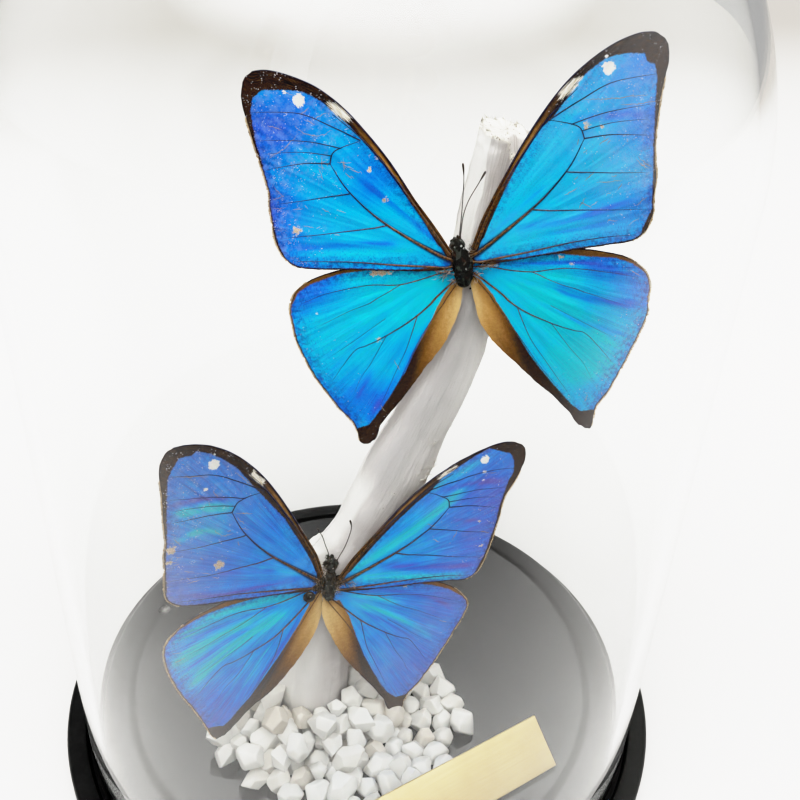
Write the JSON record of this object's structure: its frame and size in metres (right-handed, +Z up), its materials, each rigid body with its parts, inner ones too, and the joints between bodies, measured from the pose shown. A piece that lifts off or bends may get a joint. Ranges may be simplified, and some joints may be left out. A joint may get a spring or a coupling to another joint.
{
  "type": "butterflies in a glass dome",
  "caption": "Blue butterflies with open wings, set on a white painted branch in white pebbles, under a clear glass dome on a round gloss black base.",
  "frame": {"origin": "middle of the base's underside, on the surface that the dome stands on", "axes": "+Z up along the dome's axis; the butterflies show their upper sides towards -Y, and +X is to the right as seen from there"},
  "size_m": [0.14, 0.14, 0.1998],
  "materials": {
    "gloss_black": "high gloss",
    "clear_glass": "clear",
    "white_paint": "white matt paint over bark",
    "white_stone": "matt, tumbled",
    "pale_brass": "brushed",
    "wing_blue": "satin, structural blue",
    "body_black": "hairy, slightly glossy"
  },
  "bodies": {
    "root": {"base": "gloss_black", "glass_dome": "clear_glass", "branch": "white_paint", "pebbles": "white_stone", "name_plate": "pale_brass", "upper_body": "body_black", "upper_forewing_left": "wing_blue", "upper_forewing_right": "wing_blue", "upper_hindwing_left": "wing_blue", "upper_hindwing_right": "wing_blue", "upper_antenna_left": "body_black", "upper_antenna_right": "body_black", "lower_body": "body_black", "lower_forewing_left": "wing_blue", "lower_forewing_right": "wing_blue", "lower_hindwing_left": "wing_blue", "lower_hindwing_right": "wing_blue", "lower_antenna_left": "body_black", "lower_antenna_right": "body_black"}
  },
  "joints": []
}
